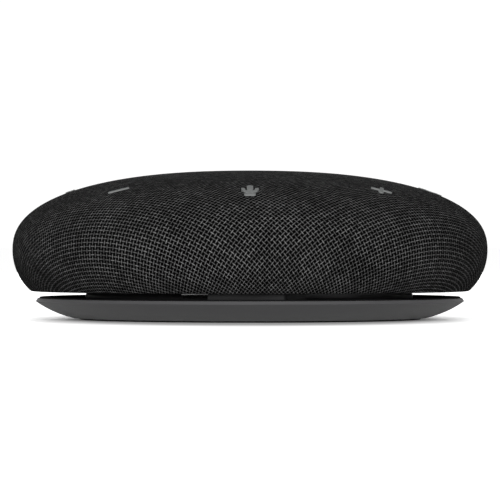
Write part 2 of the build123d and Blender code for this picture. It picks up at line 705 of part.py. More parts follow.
MAGNET_Z = YOKE_Z + YOKE_T
TOP_PLATE_Z = MAGNET_Z + MAGNET_T
MOTOR_TOP_Z = TOP_PLATE_Z + TOP_PLATE_T

with BuildPart() as driver_yoke:
    with BuildSketch(Plane.XY.offset(YOKE_Z)):
        Circle(MOTOR_R)
    extrude(amount=YOKE_T)
    with BuildSketch(Plane.XY.offset(MAGNET_Z)):
        Circle(POLE_R)
    extrude(amount=MOTOR_TOP_Z - MAGNET_Z)
    chamfer(driver_yoke.faces().sort_by(Axis.Z)[-1].edges(), length=0.4)
finish(driver_yoke.part, "driver_yoke")

with BuildPart() as driver_magnet:
    with BuildSketch(Plane.XZ):
        ring_section(MAGNET_IN_R, MOTOR_R, MAGNET_Z, TOP_PLATE_Z)
    revolve(axis=Axis.Z)
finish(driver_magnet.part, "driver_magnet")

with BuildPart() as driver_top_plate:
    with BuildSketch(Plane.XZ):
        ring_section(GAP_R, MOTOR_R, TOP_PLATE_Z, MOTOR_TOP_Z)
    revolve(axis=Axis.Z)
finish(driver_top_plate.part, "driver_top_plate")

# Basket: flange, windowed cone frame and the spider's shelf.
WINDOW_R, WINDOW_W, WINDOW_L, WINDOW_TOP_Z = 20.2, 5.2, 10.5, 28.0
with BuildPart() as driver_basket:
    with BuildSketch(Plane.XZ):
        with BuildLine():
            Polyline(
                (GAP_R + 4, MOTOR_TOP_Z),
                (MOTOR_R + 0.6, MOTOR_TOP_Z),
                (MOTOR_R + 0.6, SPIDER_Z - 0.4),
                (FLANGE_R - 1.2, FLANGE_Z - 3.0),
                (FLANGE_R - 1.2, FLANGE_Z),
                (FLANGE_R, FLANGE_Z),
                (FLANGE_R, FLANGE_Z + FLANGE_T),
                (SURROUND_OUT_R, FLANGE_Z + FLANGE_T),
                (SURROUND_OUT_R, FLANGE_Z - 2.6),
                (MOTOR_R - 0.2, SPIDER_Z),
                (SPIDER_OUT_R - 0.6, SPIDER_Z),
                (SPIDER_OUT_R - 0.6, MOTOR_TOP_Z + 0.8),
                (GAP_R + 4, MOTOR_TOP_Z + 0.8),
                close=True,
            )
        make_face()
    revolve(axis=Axis.Z)
    with BuildSketch(Plane.XY.offset(MOTOR_TOP_Z)):
        with PolarLocations(WINDOW_R, 6):
            Rectangle(WINDOW_W, WINDOW_L)
    extrude(amount=WINDOW_TOP_Z - MOTOR_TOP_Z, mode=Mode.SUBTRACT)
finish(driver_basket.part, "driver_basket")

CONE_T = 0.5
with BuildPart() as driver_cone:
    with BuildSketch(Plane.XZ):
        with BuildLine():
            rim = (SURROUND_IN_R, FLANGE_Z + 0.4)
            throat = (CONE_THROAT_R, CONE_THROAT_Z)
            belly = ((rim[0] + throat[0]) / 2 + 0.6, (rim[1] + throat[1]) / 2 - 0.9)
            ThreePointArc(throat, belly, rim)
            Line(rim, (rim[0], rim[1] + CONE_T))
            ThreePointArc(
                (rim[0], rim[1] + CONE_T),
                (belly[0] - 0.2, belly[1] + CONE_T),
                (throat[0], throat[1] + CONE_T + 0.2),
            )
            Line((throat[0], throat[1] + CONE_T + 0.2), throat)
        make_face()
    revolve(axis=Axis.Z)
finish(driver_cone.part, "driver_cone")

CAP_R, CAP_RISE, CAP_T = 7.4, 2.2, 0.4
CAP_Z = 26.0
CAP_BALL_R = (CAP_R**2 + CAP_RISE**2) / (2 * CAP_RISE)
with BuildPart() as dust_cap:
    with Locations((0, 0, CAP_Z + CAP_RISE - CAP_BALL_R)):
        Sphere(CAP_BALL_R)
        Sphere(CAP_BALL_R - CAP_T, mode=Mode.SUBTRACT)
    split(bisect_by=Plane.XY.offset(CAP_Z), keep=Keep.TOP)
finish(dust_cap.part, "dust_cap")

with BuildPart() as voice_coil:
    with BuildSketch(Plane.XZ):
        ring_section(FORMER_IN_R, CONE_THROAT_R, FORMER_LOW_Z, CONE_THROAT_Z + 0.6)
        ring_section(CONE_THROAT_R, WINDING_OUT_R, WINDING_LOW_Z, WINDING_HIGH_Z)
    revolve(axis=Axis.Z)
finish(voice_coil.part, "voice_coil")

# Surround: a half roll between the cone's edge and the flange.
ROLL_T = 0.5
with BuildPart() as driver_surround:
    with BuildSketch(Plane.XZ):
        with BuildLine():
            low = FLANGE_Z + 0.4
            roll_mid = (SURROUND_IN_R + SURROUND_OUT_R) / 2
            roll_r = (SURROUND_OUT_R - SURROUND_IN_R) / 2
            ThreePointArc((SURROUND_IN_R, low), (roll_mid, low + roll_r), (SURROUND_OUT_R, low))
            Line((SURROUND_OUT_R, low), (SURROUND_OUT_R - ROLL_T, low))
            ThreePointArc(
                (SURROUND_OUT_R - ROLL_T, low),
                (roll_mid, low + roll_r - ROLL_T),
                (SURROUND_IN_R + ROLL_T, low),
            )
            Line((SURROUND_IN_R + ROLL_T, low), (SURROUND_IN_R, low))
        make_face()
    revolve(axis=Axis.Z)
finish(driver_surround.part, "driver_surround")

# Spider: a corrugated disc that centres the voice coil.
with BuildPart() as driver_spider:
    with BuildSketch(Plane.XZ):
        with BuildLine():
            pitch = (SPIDER_OUT_R - SPIDER_IN_R) / (2 * SPIDER_WAVES)
            lower = [
                (SPIDER_IN_R + pitch * k, SPIDER_Z + SPIDER_RISE * (k % 2))
                for k in range(2 * SPIDER_WAVES + 1)
            ]
            upper = [(r, z + SPIDER_T) for r, z in lower]
            Polyline(*lower, *reversed(upper), close=True)
        make_face()
    revolve(axis=Axis.Z)
finish(driver_spider.part, "driver_spider")

# Foam gasket between the loudspeaker's flange and the upper shell.
with BuildPart() as speaker_gasket:
    with BuildSketch(Plane.XZ):
        ring_section(SURROUND_OUT_R, BOX_R, FLANGE_Z + FLANGE_T, EQUATOR_Z + DOME_H)
    revolve(axis=Axis.Z)
    add(dome_under_shell, mode=Mode.INTERSECT)
finish(speaker_gasket.part, "speaker_gasket")

# Sealed box behind the loudspeaker, on three lugs.
LUG_T = 2.0
WIRE_R = 0.6
WIRE_TOP_Z = 23.8
WIRE_LINE = Plane.XY.rotated((0, 0, 30))
SPEAKER_SOCKET_R, SOCKET_H = 18.6, 2.4
WIRE_PLACES = [(SPEAKER_SOCKET_R, -1.5), (SPEAKER_SOCKET_R, 1.5)]
with BuildPart() as speaker_box:
    with BuildSketch(Plane.XZ):
        ring_section(0, BOX_R, BOX_FLOOR_Z, BOX_FLOOR_Z + BOX_T)
        ring_section(BOX_R - BOX_T, BOX_R, BOX_FLOOR_Z, FLANGE_Z + FLANGE_T)
        ring_section(FLANGE_R - 1.2 + 0.05, BOX_R, FLANGE_Z - 1.2, FLANGE_Z)
    revolve(axis=Axis.Z)
    with BuildSketch(Plane.XY.offset(ROOF_TOP_Z)):
        with PolarLocations(BOX_SCREW_R - 1.2, 3):
            SlotOverall(7.0, 5.0)
    extrude(amount=LUG_T)
    with BuildSketch(Plane.XY.offset(ROOF_TOP_Z)):
        Circle(BOX_R - BOX_T)
    extrude(amount=BOX_FLOOR_Z - ROOF_TOP_Z, mode=Mode.SUBTRACT)
    with BuildSketch(Plane.XY.offset(BOX_FLOOR_Z + BOX_T)):
        Circle(BOX_R - BOX_T)
    extrude(amount=2.0, mode=Mode.SUBTRACT)
    with BuildSketch(Plane.XY.offset(ROOF_TOP_Z)):
        with PolarLocations(BOX_SCREW_R, 3):
            Circle(BOX_HOLE_R)
    extrude(amount=3.0, mode=Mode.SUBTRACT)
    with BuildSketch(WIRE_LINE.offset(ROOF_TOP_Z)):
        with Locations(*WIRE_PLACES):
            Circle(WIRE_R)
    extrude(amount=3.0, mode=Mode.SUBTRACT)
finish(speaker_box.part, "speaker_box")

# ---------------------------------------------------------------- electronics

PCB_TOP_Z = PCB_Z + PCB_T
notch = Plane.XY.offset(PCB_Z).rotated((0, 0, GROMMET_AZIMUTH))
with BuildPart() as main_board:
    with BuildSketch(Plane.XY.offset(PCB_Z)):
        Circle(PCB_R)
        with PolarLocations(PCB_SCREW_R, 3, start_angle=60):
            Circle(0.9, mode=Mode.SUBTRACT)
    extrude(amount=PCB_T)
    with BuildSketch(notch):
        with Locations((PCB_R, 0)):
            Rectangle(16, 7)
    extrude(amount=PCB_T, mode=Mode.SUBTRACT)
finish(main_board.part, "main_board")

# Chips: signal processor, sound codec, amplifier and memory.
CHIPS = [(0, 6, 9, 9, 1.0), (-13, 8, 6, 6, 0.9), (13, -8, 5, 5, 0.9), (-2, -10, 6, 5, 0.9)]
with BuildPart() as board_chips:
    for x, y, width, length, height in CHIPS:
        with BuildSketch(Plane.XY.offset(PCB_TOP_Z)):
            with Locations((x, y)):
                Rectangle(width, length)
        extrude(amount=height)
finish(board_chips.part, "board_chips")

# Sockets: the cable's, the loudspeaker's and the key board's.
CABLE_SOCKET_R, KEY_SOCKET_Y = 20.0, 24.0
with BuildPart() as board_sockets:
    with BuildSketch(Plane.XY.offset(PCB_TOP_Z).rotated((0, 0, GROMMET_AZIMUTH))):
        with Locations((CABLE_SOCKET_R, 0)):
            Rectangle(4.5, 8)
    extrude(amount=3.2)
    with BuildSketch(WIRE_LINE.offset(PCB_TOP_Z)):
        with Locations((SPEAKER_SOCKET_R, 0)):
            Rectangle(3.6, 7)
    extrude(amount=SOCKET_H)
    with BuildSketch(Plane.XY.offset(PCB_TOP_Z)):
        with Locations((0, KEY_SOCKET_Y)):
            Rectangle(11, 3)
    extrude(amount=SOCKET_H)
finish(board_sockets.part, "board_sockets")

# Cable's inner end: from the grommet, up through the board's notch and into its socket.
LEAD_D = 2.4
lead_side = Plane(
    origin=(0, 0, 0),
    x_dir=(cos(radians(GROMMET_AZIMUTH)), sin(radians(GROMMET_AZIMUTH)), 0),
    z_dir=(sin(radians(GROMMET_AZIMUTH)), -cos(radians(GROMMET_AZIMUTH)), 0),
)
with BuildPart() as inner_lead:
    with BuildLine(lead_side) as lead_line:
        FilletPolyline(
            (DRUM_IN_R - 1.2, 7.35),
            (29.5, 7.35),
            (26.0, PCB_TOP_Z + 1.65),
            (CABLE_SOCKET_R + 2.25, PCB_TOP_Z + 1.65),
            radius=3.0,
        )
    lead_path = lead_line.wires()[0]
    with BuildSketch(Plane(origin=lead_path @ 0, z_dir=lead_path % 0)):
        Circle(LEAD_D / 2)
    sweep(path=lead_path)
finish(inner_lead.part, "inner_lead")

# Two wires from the loudspeaker's socket through the box to its basket.
with BuildPart() as speaker_wires:
    with BuildSketch(WIRE_LINE.offset(PCB_TOP_Z + SOCKET_H)):
        with Locations(*WIRE_PLACES):
            Circle(WIRE_R)
    extrude(amount=WIRE_TOP_Z - PCB_TOP_Z - SOCKET_H)
finish(speaker_wires.part, "speaker_wires")

# ---------------------------------------------------------------- screws


def pan_screw(head_r, head_h, shank_r, shank_l):
    """Pan-head screw with its head's underside at zero and its shank up +Z."""
    with BuildPart(mode=Mode.PRIVATE) as screw:
        with BuildSketch(Plane.XY.offset(-head_h)):
            Circle(head_r)
        extrude(amount=head_h)
        fillet(screw.faces().sort_by(Axis.Z)[0].edges(), radius=head_h * 0.35)
        with BuildSketch(Plane.XY.offset(-head_h)):
            Rectangle(head_r * 1.1, head_r * 0.3)
            Rectangle(head_r * 0.3, head_r * 1.1)
        extrude(amount=head_h * 0.5, mode=Mode.SUBTRACT)
        with BuildSketch(Plane.XY):
            Circle(shank_r)
        extrude(amount=shank_l)
    return screw.part


def screw_circle(screw, radius, count, start, z, facing_down=True):
    """Copies of a screw on a circle, as separate solids."""
    flip = 0 if facing_down else 180
    return [
        Location((0, 0, z)) * place * Location((0, 0, 0), (flip, 0, 0)) * screw
        for place in PolarLocations(radius, count, start_angle=start)
    ]


def screw_group(label, screws):
    group = Compound(children=screws)
    finish(group, label)


body_screw = pan_screw(head_r=2.1, head_h=1.2, shank_r=0.98, shank_l=9.0)
screw_group("body_screws", screw_circle(body_screw, BODY_SCREW_R, 6, 30, GROOVE_ROOF_Z - DRUM_FLANGE_T))
dish_screw = pan_screw(head_r=2.2, head_h=1.3, shank_r=0.98, shank_l=3.7)
screw_group("dish_screws", screw_circle(dish_screw, DISH_SCREW_R, 4, 45, HEAD_HOLE_TOP))
board_screw = pan_screw(head_r=1.3, head_h=0.8, shank_r=0.74, shank_l=3.0)
screw_group("board_screws", screw_circle(board_screw, PCB_SCREW_R, 3, 60, PCB_TOP_Z, facing_down=False))
box_screw = pan_screw(head_r=2.0, head_h=1.2, shank_r=0.88, shank_l=3.5)
box_lug_top = ROOF_TOP_Z + LUG_T
screw_group("box_screws", screw_circle(box_screw, BOX_SCREW_R, 3, 0, box_lug_top, facing_down=False))
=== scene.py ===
import json
from math import cos, degrees, pi, radians, sin, tan

import bmesh
import bpy
import numpy as np
from mathutils import Matrix, Vector


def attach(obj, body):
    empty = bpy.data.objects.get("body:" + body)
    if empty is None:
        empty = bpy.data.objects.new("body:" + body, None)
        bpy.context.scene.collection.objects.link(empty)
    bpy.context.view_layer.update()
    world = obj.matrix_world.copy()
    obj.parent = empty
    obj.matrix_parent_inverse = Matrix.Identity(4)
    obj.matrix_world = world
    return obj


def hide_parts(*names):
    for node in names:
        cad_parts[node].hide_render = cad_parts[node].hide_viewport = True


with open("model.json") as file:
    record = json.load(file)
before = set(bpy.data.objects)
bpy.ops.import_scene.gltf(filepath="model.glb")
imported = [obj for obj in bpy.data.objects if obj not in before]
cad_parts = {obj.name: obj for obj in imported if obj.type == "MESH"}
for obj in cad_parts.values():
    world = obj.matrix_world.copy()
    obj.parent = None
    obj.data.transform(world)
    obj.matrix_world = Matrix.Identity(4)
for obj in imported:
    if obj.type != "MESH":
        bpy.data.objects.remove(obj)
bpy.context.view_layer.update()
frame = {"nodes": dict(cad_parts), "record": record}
scene = bpy.context.scene
MM = 0.001

# ---------------------------------------------------------------- camera

CAMERA_DISTANCE = 1.053
CAMERA_HEIGHT = 0.0221
CAMERA_PITCH = radians(0.212)      # downwards
CAMERA_HALF_VIEW = radians(3.58)
SENSOR_W = 36                      # millimetres

camera_data = bpy.data.cameras.new("camera")
camera_data.sensor_width = SENSOR_W
camera_data.lens = SENSOR_W / 2 / tan(CAMERA_HALF_VIEW)
camera_data.clip_start, camera_data.clip_end = 0.01, 50
camera = bpy.data.objects.new("camera", camera_data)
camera.location = (0, -CAMERA_DISTANCE, CAMERA_HEIGHT)
camera.rotation_euler = (pi / 2 - CAMERA_PITCH, 0, 0)
scene.collection.objects.link(camera)
scene.camera = camera


def add_object(name, data, body="housing"):
    """A new object of that data, which rides on a CAD body."""
    thing = bpy.data.objects.new(name, data)
    scene.collection.objects.link(thing)
    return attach(thing, body) if body else thing


# ---------------------------------------------------------------- cable

# Two layers of turns on the drum, inner and outer, each two high; then the tail to the plug.
CABLE_D = 3.0
INNER_R, OUTER_R = 38.8, 41.8
LOW_Z, HIGH_Z = 6.12, 9.14
TURN_STEP = 15                     # degrees between two points of a turn
EXIT_STEP = 5                      # degrees from the exit to the next point
CHORD = 0.75 + 0.25 * cos(radians(TURN_STEP))   # a spline's radius as a share of its points'
PLUG_AZIMUTH, PLUG_LINE_R, PLUG_Z = -94.5, 48.6, 7.6
BOOT_END = -18.075                 # along the plug's axis from its middle
TAIL_LEAD = 6.3                    # straight run into the boot
TAIL_OVERLAP = 0.5                 # the cable ends this far inside the boot


def polar(radius, azimuth, z):
    """Point at a distance from the axis and an angle from +X."""
    return Vector((radius * cos(radians(azimuth)), radius * sin(radians(azimuth)), z))


def plug_axis(along):
    """Point of the plug's axis, along millimetres from its middle towards its tip."""
    out = polar(1, PLUG_AZIMUTH, 0)
    return out * PLUG_LINE_R + Vector((out.y, -out.x, 0)) * along + Vector((0, 0, PLUG_Z))


# Azimuth, radius and height at which each stretch of the winding begins and ends.
winding = [
    (-128, INNER_R, LOW_Z), (-455, INNER_R, LOW_Z),
    (-480, INNER_R, HIGH_Z), (-790, INNER_R, HIGH_Z),
    (-815, OUTER_R, HIGH_Z), (-1125, OUTER_R, HIGH_Z),
    (-1150, OUTER_R, LOW_Z), (-1442.5, OUTER_R, LOW_Z),
]
turn_azimuths, turn_radii, turn_heights = zip(*winding)
way_round = [-azimuth for azimuth in turn_azimuths]
cable_points = [polar(INNER_R, turn_azimuths[0], LOW_Z)]
azimuth = turn_azimuths[0] - EXIT_STEP
while azimuth > turn_azimuths[-1] + TURN_STEP / 2:
    radius = np.interp(-azimuth, way_round, turn_radii)
    height = np.interp(-azimuth, way_round, turn_heights)
    cable_points.append(polar(radius / CHORD, azimuth, height))
    azimuth -= TURN_STEP
cable_points += [
    polar(41.8, PLUG_AZIMUTH + 92, 6.1),
    polar(42.2, PLUG_AZIMUTH + 76, 6.1),
    polar(44.6, PLUG_AZIMUTH + 61, 6.4),
    polar(49.6, PLUG_AZIMUTH + 46.5, 7.0),
    polar(53.3, PLUG_AZIMUTH + 34, 7.5),
    plug_axis(BOOT_END - TAIL_LEAD),
    plug_axis(BOOT_END + TAIL_OVERLAP),
]

cable_curve = bpy.data.curves.new("cable", "CURVE")
cable_curve.dimensions = "3D"
cable_curve.resolution_u = 5
cable_curve.bevel_depth = 1            # times each point's radius
cable_curve.bevel_resolution = 5
cable_curve.use_fill_caps = True
spline = cable_curve.splines.new("NURBS")
spline.points.add(len(cable_points) - 1)
for point, place in zip(spline.points, cable_points):
    point.co = (*(place * MM), 1)
    point.radius = CABLE_D / 2 * MM
spline.order_u = 3
spline.use_endpoint_u = True

cable = add_object("cable", cable_curve)
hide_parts("cable_coil", "cable_tail")

# ---------------------------------------------------------------- knitted cover

BODY_R, EQUATOR_Z, DOME_H, DOME_POWER = 62.5, 18.2, 20.9, 2.36
FLANK_R = 14.35
FLANK_CENTRE_R = BODY_R - FLANK_R
RIM_Z, HEM_R, FABRIC_T = 7.4, 56.4, 0.8
COVER_SIDES = 256
COVER_ROWS, COVER_INNER_ROWS = 96, 40
KEY_R, KEY_GAP, STROKE = 47.4, 0.25, 0.95
CUT_REACH, CUT_STAGGER = 2.2, 0.05   # each stroke of a mark is cut a little deeper than the last
MINUS_L, PLUS_L = 5.5, 5.6
CAPSULE_W, CAPSULE_L, CAPSULE_Y = 1.65, 3.6, 1.35
CRADLE_R, CRADLE_Y, CRADLE_ARM = 1.75, 0.1, 0.4
STAND_TOP_Y, STAND_FOOT_Y, STAND_HALF = -1.5, -3.45, 1.0
HANDLE_X, HANDLE_R, HANDLE_START, HANDLE_SWEEP = 3.3, 4.1, 140, 80
EARPIECE_L, EARPIECE_W, EARPIECE_CORNER = 1.9, 1.5, 0.5
EARPIECE_X, EARPIECE_Y, EARPIECE_TURN = 0.35, 2.25, 40
KEY_MARKS = [
    ("handset_up", 180), ("minus", -135), ("microphone", -90), ("plus", -45), ("handset_down", 0),
]


def cover_section(inset, low_z, corner, rows):
    """Points (radius, height) from the apex to the hem, evenly spaced, inset from the outer face."""
    turns = np.radians(np.linspace(90, 0, 1500))
    power = 2 / DOME_POWER
    radii = (BODY_R - inset) * np.cos(turns).clip(0) ** power
    heights = EQUATOR_Z + (DOME_H - inset) * np.sin(turns).clip(0) ** power
    low_turn = np.arcsin((EQUATOR_Z - low_z) / (FLANK_R - inset))
    turns = np.linspace(0, low_turn, 400)[1:]
    radii = np.concatenate([radii, FLANK_CENTRE_R + (FLANK_R - inset) * np.cos(turns)])
    heights = np.concatenate([heights, EQUATOR_Z - (FLANK_R - inset) * np.sin(turns)])
    line = np.stack([radii, heights], 1)
    # the cloth turns under the rim in a small round fold
    edge = line[-1].copy()
    before = edge + (line[-8] - edge) / np.linalg.norm(line[-8] - edge) * corner
    after = edge - np.array([corner, 0])
    kept = line[np.linalg.norm(line - edge, axis=1) > corner]
    fold = [
        before * (1 - t) ** 2 + edge * 2 * t * (1 - t) + after * t**2 for t in np.linspace(0, 1, 7)
    ]
    length = np.concatenate([[0], np.cumsum(np.linalg.norm(np.diff(kept, axis=0), axis=1))])
    even = np.linspace(0, length[-1], rows)
    spread = np.stack([np.interp(even, length, kept[:, k]) for k in (0, 1)], 1)
    return np.concatenate([spread[:-1], fold, [[HEM_R, low_z]]])


def lathe(name, section, sides):
    """Closed mesh of revolution of a section whose first and last points lie on the axis."""
    azimuths = np.arange(sides) * 2 * pi / sides
    rings = section[1:-1]
    points = [(0, 0, section[0][1])]
    for radius, height in rings:
        points += [(radius * cos(a), radius * sin(a), height) for a in azimuths]
    points.append((0, 0, section[-1][1]))
    last = len(points) - 1
    faces = []
    for k in range(sides):
        n = (k + 1) % sides
        faces.append((0, 1 + k, 1 + n))
        for row in range(len(rings) - 1):
            a, b = 1 + row * sides, 1 + (row + 1) * sides
            faces.append((a + k, b + k, b + n, a + n))
        a = 1 + (len(rings) - 1) * sides
        faces.append((a + k, last, a + n))
    mesh = bpy.data.meshes.new(name)
    mesh.from_pydata([Vector(p) * MM for p in points], [], faces)
    mesh.update()
    return mesh


def dome_height(radius):
    """Height of the dome's outer face at a distance from the axis."""
    share = 1 - (radius / BODY_R) ** DOME_POWER
    return EQUATOR_Z + DOME_H * share ** (1 / DOME_POWER)


def key_matrix(azimuth):
    """Frame on the dome at a key: Z is the dome's normal, and Y points to the back along the dome."""
    step = 0.01
    fall = (dome_height(KEY_R - step) - dome_height(KEY_R + step)) / (2 * step)
    normal = Vector((fall * cos(radians(azimuth)), fall * sin(radians(azimuth)), 1)).normalized()
    across = Vector((0, 1, 0)).cross(normal).normalized()
    up = normal.cross(across)
    place = polar(KEY_R, azimuth, dome_height(KEY_R))
    turn = Matrix((across, up, normal)).transposed().to_4x4()
    return Matrix.Translation(place * MM) @ turn @ Matrix.Scale(MM, 4)


def arc_points(centre, radius, start, sweep, steps):
    """Points of an arc, from start degrees and over sweep degrees."""
    return [
        Vector((centre[0] + radius * cos(radians(start + sweep * k / steps)),
                centre[1] + radius * sin(radians(start + sweep * k / steps))))
        for k in range(steps + 1)
    ]


def bar(start, end, half):
    """Outline of a straight stroke with round ends."""
    start, end = Vector(start), Vector(end)
    angle = degrees(np.arctan2(end.y - start.y, end.x - start.x))
    return arc_points(end, half, angle - 90, 180, 10) + arc_points(start, half, angle + 90, 180, 10)


def bow(centre, radius, start, sweep, half):
    """Outline of a curved stroke with round ends."""
    head, tail = arc_points(centre, radius, start, sweep, 1)
    return (
        arc_points(centre, radius + half, start, sweep, 24)
        + arc_points(tail, half, start + sweep, 180, 10)
        + arc_points(centre, radius - half, start + sweep, -sweep, 24)
        + arc_points(head, half, start + 180, 180, 10)
    )


def pad(centre, width, height, corner, turn):
    """Outline of a rounded rectangle, turned about its centre."""
    points = []
    for k, (sx, sy) in enumerate([(1, 1), (-1, 1), (-1, -1), (1, -1)]):
        inner = (sx * (width / 2 - corner), sy * (height / 2 - corner))
        points += arc_points(inner, corner, 90 * k, 90, 5)
    return [Matrix.Rotation(radians(turn), 2) @ p + Vector(centre) for p in points]


def mark_outlines(mark, grow):
    """Outlines of the strokes that make up a key's mark, each widened by grow."""
    half = STROKE / 2 + grow
    reach = MINUS_L / 2 - STROKE / 2
    if mark == "minus":
        return [bar((-reach, 0), (reach, 0), half)]
    if mark == "plus":
        rise = PLUS_L / 2 - STROKE / 2
        return [bar((-reach, 0), (reach, 0), half), bar((0, -rise), (0, rise), half)]
    if mark == "microphone":
        capsule = CAPSULE_W / 2
        rise = CAPSULE_L / 2 - capsule
        arm = CRADLE_Y + CRADLE_ARM
        return [
            bar((0, CAPSULE_Y - rise), (0, CAPSULE_Y + rise), capsule + grow),
            bow((0, CRADLE_Y), CRADLE_R, 180, 180, half),
            bar((-CRADLE_R, CRADLE_Y), (-CRADLE_R, arm), half),
            bar((CRADLE_R, CRADLE_Y), (CRADLE_R, arm), half),
            bar((0, STAND_TOP_Y), (0, STAND_FOOT_Y), half),
            bar((-STAND_HALF, STAND_FOOT_Y), (STAND_HALF, STAND_FOOT_Y), half),
        ]
    strokes = [bow((HANDLE_X, 0), HANDLE_R, HANDLE_START, HANDLE_SWEEP, half)]
    for side in (-1, 1):
        strokes.append(
            pad(
                (EARPIECE_X, EARPIECE_Y * side),
                EARPIECE_L + 2 * grow,
                EARPIECE_W + 2 * grow,
                EARPIECE_CORNER + grow,
                EARPIECE_TURN * side,
            )
        )
    if mark == "handset_down":
        quarter = Matrix.Rotation(radians(-90), 2)
        strokes = [[quarter @ p for p in stroke] for stroke in strokes]
    return strokes


def prism(builder, outline, matrix, reach):
    """Adds a straight prism to a bmesh, reach millimetres to each side of the frame's plane."""
    rings = []
    for height in (-reach, reach):
        rings.append([builder.verts.new(matrix @ Vector((p.x, p.y, height))) for p in outline])
    low, high = rings
    count = len(outline)
    for k in range(count):
        n = (k + 1) % count
        builder.faces.new((low[k], low[n], high[n], high[k]))
    builder.faces.new(list(reversed(low)))
    builder.faces.new(high)


outer = cover_section(0, RIM_Z, 0.5, COVER_ROWS)
inner = cover_section(FABRIC_T, RIM_Z + FABRIC_T, 0.1, COVER_INNER_ROWS)
outer[0, 0] = inner[0, 0] = 0
cover_mesh = lathe("cover", np.concatenate([outer, inner[::-1]]), COVER_SIDES)
cover = add_object("knitted_cover", cover_mesh, None)

cutter_builder = bmesh.new()
for mark, azimuth in KEY_MARKS:
    for k, outline in enumerate(mark_outlines(mark, KEY_GAP)):
        prism(cutter_builder, outline, key_matrix(azimuth), CUT_REACH + CUT_STAGGER * k)
bmesh.ops.recalc_face_normals(cutter_builder, faces=cutter_builder.faces)
cutter_mesh = bpy.data.meshes.new("cutter")
cutter_builder.to_mesh(cutter_mesh)
cutter_builder.free()
cutter = add_object("cutter", cutter_mesh, None)

cut = cover.modifiers.new("openings", "BOOLEAN")
cut.operation, cut.solver, cut.object, cut.use_self = "DIFFERENCE", "EXACT", cutter, True
bpy.context.view_layer.update()
cut_cover = cover.evaluated_get(bpy.context.evaluated_depsgraph_get())
cut_mesh = bpy.data.meshes.new_from_object(cut_cover)
cover.modifiers.clear()
cover.data = cut_mesh
bpy.data.objects.remove(cutter)

# Each point's place on the flat cloth, in millimetres, as far from the middle as its way along the section
length = np.concatenate([[0], np.cumsum(np.hypot(*np.diff(outer, axis=0).T))])
elevation = np.arctan2(outer[:, 1] - EQUATOR_Z, outer[:, 0])
places = np.zeros(len(cut_mesh.vertices) * 3)
cut_mesh.vertices.foreach_get("co", places)
places = places.reshape(-1, 3) / MM
around = np.arctan2(places[:, 1], places[:, 0])
ring_r = np.hypot(places[:, 0], places[:, 1])
distance = np.interp(-np.arctan2(places[:, 2] - EQUATOR_Z, ring_r), -elevation, length)
flat = np.stack([distance * np.cos(around), distance * np.sin(around), places[:, 2] * 0], 1)
layer = cut_mesh.attributes.new("flat", "FLOAT_VECTOR", "POINT")
layer.data.foreach_set("vector", flat.astype(np.float32).ravel())
for polygon in cut_mesh.polygons:
    polygon.use_smooth = True
cut_mesh.set_sharp_from_angle(angle=radians(40))

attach(cover, "housing")
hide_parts("fabric_cover")

# ---------------------------------------------------------------- materials


class Shader:
    """One material's node graph. A value that is a socket is linked, and any other is set."""

    def __init__(self, name):
        self.material = bpy.data.materials.new(name)
        self.material.use_nodes = True
        self.tree = self.material.node_tree
        self.bsdf = self.tree.nodes["Principled BSDF"]
        self.place = self.node("TexCoord", "Object")

    def put(self, socket, value):
        """Link or set one input."""
        if isinstance(value, bpy.types.NodeSocket):
            self.tree.links.new(value, socket)
        else:
            socket.default_value = value

    def node(self, kind, output, inputs=None, **settings):
        """One output of a new node with those settings and inputs."""
        made = self.tree.nodes.new("ShaderNode" + kind)
        for key, value in settings.items():
            setattr(made, key, value)
        for key, value in (inputs or {}).items():
            self.put(made.inputs[key], value)
        return made.outputs[output]

    def math(self, operation, *values):
        """Output of a Math node on those values."""
        return self.node("Math", 0, dict(enumerate(values)), operation=operation)

    def add(self, a, b):
        return self.math("ADD", a, b)

    def mul(self, a, b):
        return self.math("MULTIPLY", a, b)

    def sub(self, a, b):
        return self.math("SUBTRACT", a, b)

    def fit(self, value, low, high, to_low=0.0, to_high=1.0, smooth=False):
        """The value mapped from low..high to to_low..to_high, and held at the ends."""
        inputs = {0: value, 1: low, 2: high, 3: to_low, 4: to_high}
        kind = "SMOOTHSTEP" if smooth else "LINEAR"
        return self.node("MapRange", 0, inputs, interpolation_type=kind)

    def noise(self, scale, detail=3.0, roughness=0.55, place=None, stretch=None):
        """Noise with about scale features to a millimetre."""
        place = place or self.place
        if stretch:
            place = self.node("Mapping", 0, {"Vector": place, "Scale": stretch})
        inputs = {"Vector": place, "Scale": scale / MM, "Detail": detail, "Roughness": roughness}
        return self.node("TexNoise", 0, inputs)

    def ramp(self, value, *stops):
        """Colour ramp. A stop is (place, grey or colour)."""
        made = self.tree.nodes.new("ShaderNodeValToRGB")
        elements = made.color_ramp.elements
        while len(elements) < len(stops):
            elements.new(0.5)
        for element, (where, colour) in zip(elements, stops):
            element.position = where
            rgb = (colour,) * 3 if isinstance(colour, (int, float)) else colour
            element.color = (*rgb, 1)
        self.put(made.inputs[0], value)
        return made.outputs[0]

    def mix(self, share, a, b):
        """Mix of two colours, each a socket or three numbers."""
        made = self.tree.nodes.new("ShaderNodeMix")
        made.data_type = "RGBA"
        self.put(made.inputs[0], share)
        for socket, value in ((made.inputs[6], a), (made.inputs[7], b)):
            self.put(socket, value if isinstance(value, bpy.types.NodeSocket) else (*value, 1))
        return made.outputs[2]

    def bump(self, height, distance, strength=1.0, under=None):
        """Relief of distance millimetres for a height of one."""
        inputs = {"Height": height, "Distance": distance * MM, "Strength": strength}
        if under:
            inputs["Normal"] = under
        return self.node("Bump", 0, inputs)

    def finish(self, **inputs):
        """Set the shader's inputs, with _ for a space in a name, and return the material."""
        for key, value in inputs.items():
            self.put(self.bsdf.inputs[key.replace("_", " ")], value)
        return self.material


def tint(colour, factor):
    """The colour made lighter or darker."""
    return tuple(min(1, c * factor) for c in colour)


